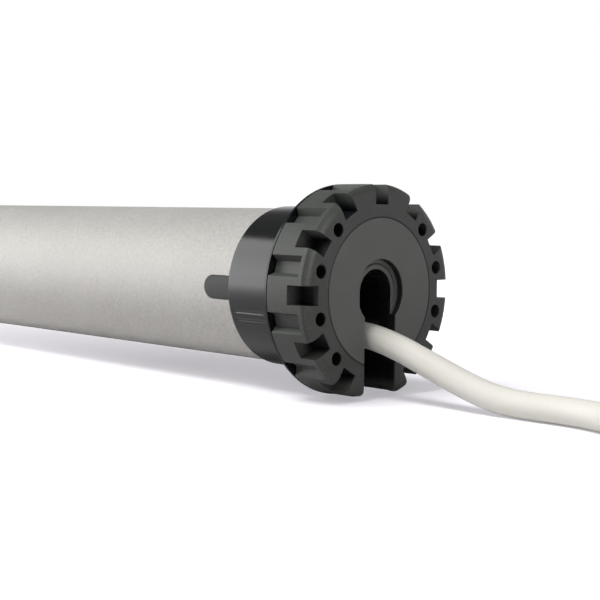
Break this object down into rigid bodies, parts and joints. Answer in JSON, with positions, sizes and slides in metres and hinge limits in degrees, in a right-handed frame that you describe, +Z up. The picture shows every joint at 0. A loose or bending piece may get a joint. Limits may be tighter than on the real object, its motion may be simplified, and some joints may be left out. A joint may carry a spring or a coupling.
{
  "type": "tubular motor",
  "caption": "Tubular motor for a roller blind or shutter, with a star-shaped fixed head, a limit crown, a round tube, a planetary gearbox, a drive wheel and a supply cable.",
  "frame": {"origin": "on the motor's axis, in the plane of the head's front face", "axes": "+X along the axis out of the head's face, with the tube towards -X; +Y to the right as one looks at the face; +Z up, with the cable slot at the bottom"},
  "size_m": [0.5969, 0.0993, 0.0588],
  "materials": {
    "head_plastic": "fine satin grain",
    "plate_plastic": "fine satin grain",
    "inner_plastic": "satin",
    "crown_plastic": "polished",
    "tube_steel": "galvanised, fine grain",
    "screw_steel": "zinc plated",
    "cable_pvc": "soft satin",
    "tie_nylon": "satin",
    "core_wires": "insulated copper",
    "gear_nylon": "satin",
    "magnet_ferrite": "sintered",
    "board_laminate": "solder mask",
    "carrier_plastic": "moulded",
    "relay_plastic": "moulded",
    "transformer_core": "ferrite and tape",
    "capacitor_can": "sleeved",
    "run_capacitor_case": "moulded",
    "rubber": "matt",
    "shield_aluminium": "die cast",
    "lamination_steel": "stacked sheet",
    "winding_copper": "enamelled copper",
    "shaft_steel": "ground",
    "bearing_steel": "polished",
    "friction_lining": "pressed lining",
    "ring_steel": "sintered",
    "planet_metal": "machined",
    "bronze": "sintered",
    "cap_plastic": "moulded",
    "wheel_plastic": "moulded"
  },
  "bodies": {
    "motor_body": {"head_housing": "head_plastic", "head_plate": "plate_plastic", "head_core": "inner_plastic", "tube_plug": "cap_plastic", "head_screws": "screw_steel", "sensor_board": "board_laminate", "cable_connector": "cable_pvc", "supply_cable": "cable_pvc", "cable_coil": "cable_pvc", "coil_ties": "tie_nylon", "cable_cores": "core_wires", "motor_tube": "tube_steel", "tube_screws": "screw_steel", "board_carrier": "carrier_plastic", "control_board": "board_laminate", "relays": "relay_plastic", "power_transformer": "transformer_core", "board_capacitors": "capacitor_can", "run_capacitor": "run_capacitor_case", "capacitor_rings": "rubber", "motor_leads": "core_wires", "front_endshield": "shield_aluminium", "rear_endshield": "shield_aluminium", "stator_core": "lamination_steel", "stator_winding": "winding_copper", "bearing_outer_rings": "bearing_steel", "brake_housing": "shield_aluminium", "brake_coil": "winding_copper", "brake_spring": "shaft_steel", "ring_gear": "ring_steel", "end_cap": "cap_plastic", "output_bush": "bronze"},
    "limit_crown": {"crown": "crown_plastic"},
    "encoder": {"encoder_gear": "gear_nylon", "encoder_magnet": "magnet_ferrite"},
    "rotor": {"rotor_core": "lamination_steel", "rotor_shaft": "shaft_steel", "bearing_inner_rings": "bearing_steel", "brake_disc": "friction_lining", "sun_gear": "shaft_steel"},
    "armature": {"brake_armature": "shaft_steel"},
    "first_carrier": {"carrier_1": "ring_steel", "planet_pins_1": "shaft_steel"},
    "second_carrier": {"carrier_2": "ring_steel", "planet_pins_2": "shaft_steel"},
    "output": {"output_shaft": "shaft_steel", "planet_pins_3": "shaft_steel", "shaft_clip": "screw_steel", "drive_wheel": "wheel_plastic", "wheel_screw": "screw_steel"},
    "planet_1a_body": {"planet_1a": "planet_metal"},
    "planet_1b_body": {"planet_1b": "planet_metal"},
    "planet_1c_body": {"planet_1c": "planet_metal"},
    "planet_2a_body": {"planet_2a": "planet_metal"},
    "planet_2b_body": {"planet_2b": "planet_metal"},
    "planet_2c_body": {"planet_2c": "planet_metal"},
    "planet_3a_body": {"planet_3a": "planet_metal"},
    "planet_3b_body": {"planet_3b": "planet_metal"},
    "planet_3c_body": {"planet_3c": "planet_metal"}
  },
  "joints": [
    {"name": "output_spin", "type": "hinge", "parent": "motor_body", "child": "output", "pos_m": [-0.39, 0, 0], "axis": [1, 0, 0], "continuous": true},
    {"name": "second_carrier_spin", "type": "hinge", "parent": "motor_body", "child": "second_carrier", "pos_m": [-0.36, 0, 0], "axis": [1, 0, 0], "continuous": true},
    {"name": "first_carrier_spin", "type": "hinge", "parent": "motor_body", "child": "first_carrier", "pos_m": [-0.345, 0, 0], "axis": [1, 0, 0], "continuous": true},
    {"name": "rotor_spin", "type": "hinge", "parent": "motor_body", "child": "rotor", "pos_m": [-0.25, 0, 0], "axis": [1, 0, 0], "continuous": true},
    {"name": "crown_spin", "type": "hinge", "parent": "motor_body", "child": "limit_crown", "pos_m": [-0.026, 0, 0], "axis": [1, 0, 0], "continuous": true},
    {"name": "encoder_spin", "type": "hinge", "parent": "motor_body", "child": "encoder", "pos_m": [-0.035, 0, 0.014], "axis": [1, 0, 0], "continuous": true},
    {"name": "brake_release", "type": "slide", "parent": "motor_body", "child": "armature", "axis": [1, 0, 0], "range_m": [0, 0.0004], "stiffness_N_per_m": 1500, "springref_m": -0.0005},
    {"name": "planet_3a_spin", "type": "hinge", "parent": "output", "child": "planet_3a_body", "pos_m": [-0.366, 0.01073, 0], "axis": [1, 0, 0], "continuous": true},
    {"name": "planet_3b_spin", "type": "hinge", "parent": "output", "child": "planet_3b_body", "pos_m": [-0.366, -0.00536, 0.00929], "axis": [1, 0, 0], "continuous": true},
    {"name": "planet_3c_spin", "type": "hinge", "parent": "output", "child": "planet_3c_body", "pos_m": [-0.366, -0.00536, -0.00929], "axis": [1, 0, 0], "continuous": true},
    {"name": "planet_2a_spin", "type": "hinge", "parent": "second_carrier", "child": "planet_2a_body", "pos_m": [-0.351, 0.01073, 0], "axis": [1, 0, 0], "continuous": true},
    {"name": "planet_2b_spin", "type": "hinge", "parent": "second_carrier", "child": "planet_2b_body", "pos_m": [-0.351, -0.00536, 0.00929], "axis": [1, 0, 0], "continuous": true},
    {"name": "planet_2c_spin", "type": "hinge", "parent": "second_carrier", "child": "planet_2c_body", "pos_m": [-0.351, -0.00536, -0.00929], "axis": [1, 0, 0], "continuous": true},
    {"name": "planet_1a_spin", "type": "hinge", "parent": "first_carrier", "child": "planet_1a_body", "pos_m": [-0.339, 0.01073, 0], "axis": [1, 0, 0], "continuous": true},
    {"name": "planet_1b_spin", "type": "hinge", "parent": "first_carrier", "child": "planet_1b_body", "pos_m": [-0.339, -0.00536, 0.00929], "axis": [1, 0, 0], "continuous": true},
    {"name": "planet_1c_spin", "type": "hinge", "parent": "first_carrier", "child": "planet_1c_body", "pos_m": [-0.339, -0.00536, -0.00929], "axis": [1, 0, 0], "continuous": true}
  ],
  "couplings": [
    {"joint": "second_carrier_spin", "follows": "output_spin", "ratio": 5.5},
    {"joint": "first_carrier_spin", "follows": "output_spin", "ratio": 30.25},
    {"joint": "rotor_spin", "follows": "output_spin", "ratio": 166.38},
    {"joint": "encoder_spin", "follows": "crown_spin", "ratio": 3.5},
    {"joint": "planet_3a_spin", "follows": "output_spin", "ratio": -2.5714},
    {"joint": "planet_3b_spin", "follows": "output_spin", "ratio": -2.5714},
    {"joint": "planet_3c_spin", "follows": "output_spin", "ratio": -2.5714},
    {"joint": "planet_2a_spin", "follows": "output_spin", "ratio": -14.143},
    {"joint": "planet_2b_spin", "follows": "output_spin", "ratio": -14.143},
    {"joint": "planet_2c_spin", "follows": "output_spin", "ratio": -14.143},
    {"joint": "planet_1a_spin", "follows": "output_spin", "ratio": -77.786},
    {"joint": "planet_1b_spin", "follows": "output_spin", "ratio": -77.786},
    {"joint": "planet_1c_spin", "follows": "output_spin", "ratio": -77.786}
  ]
}
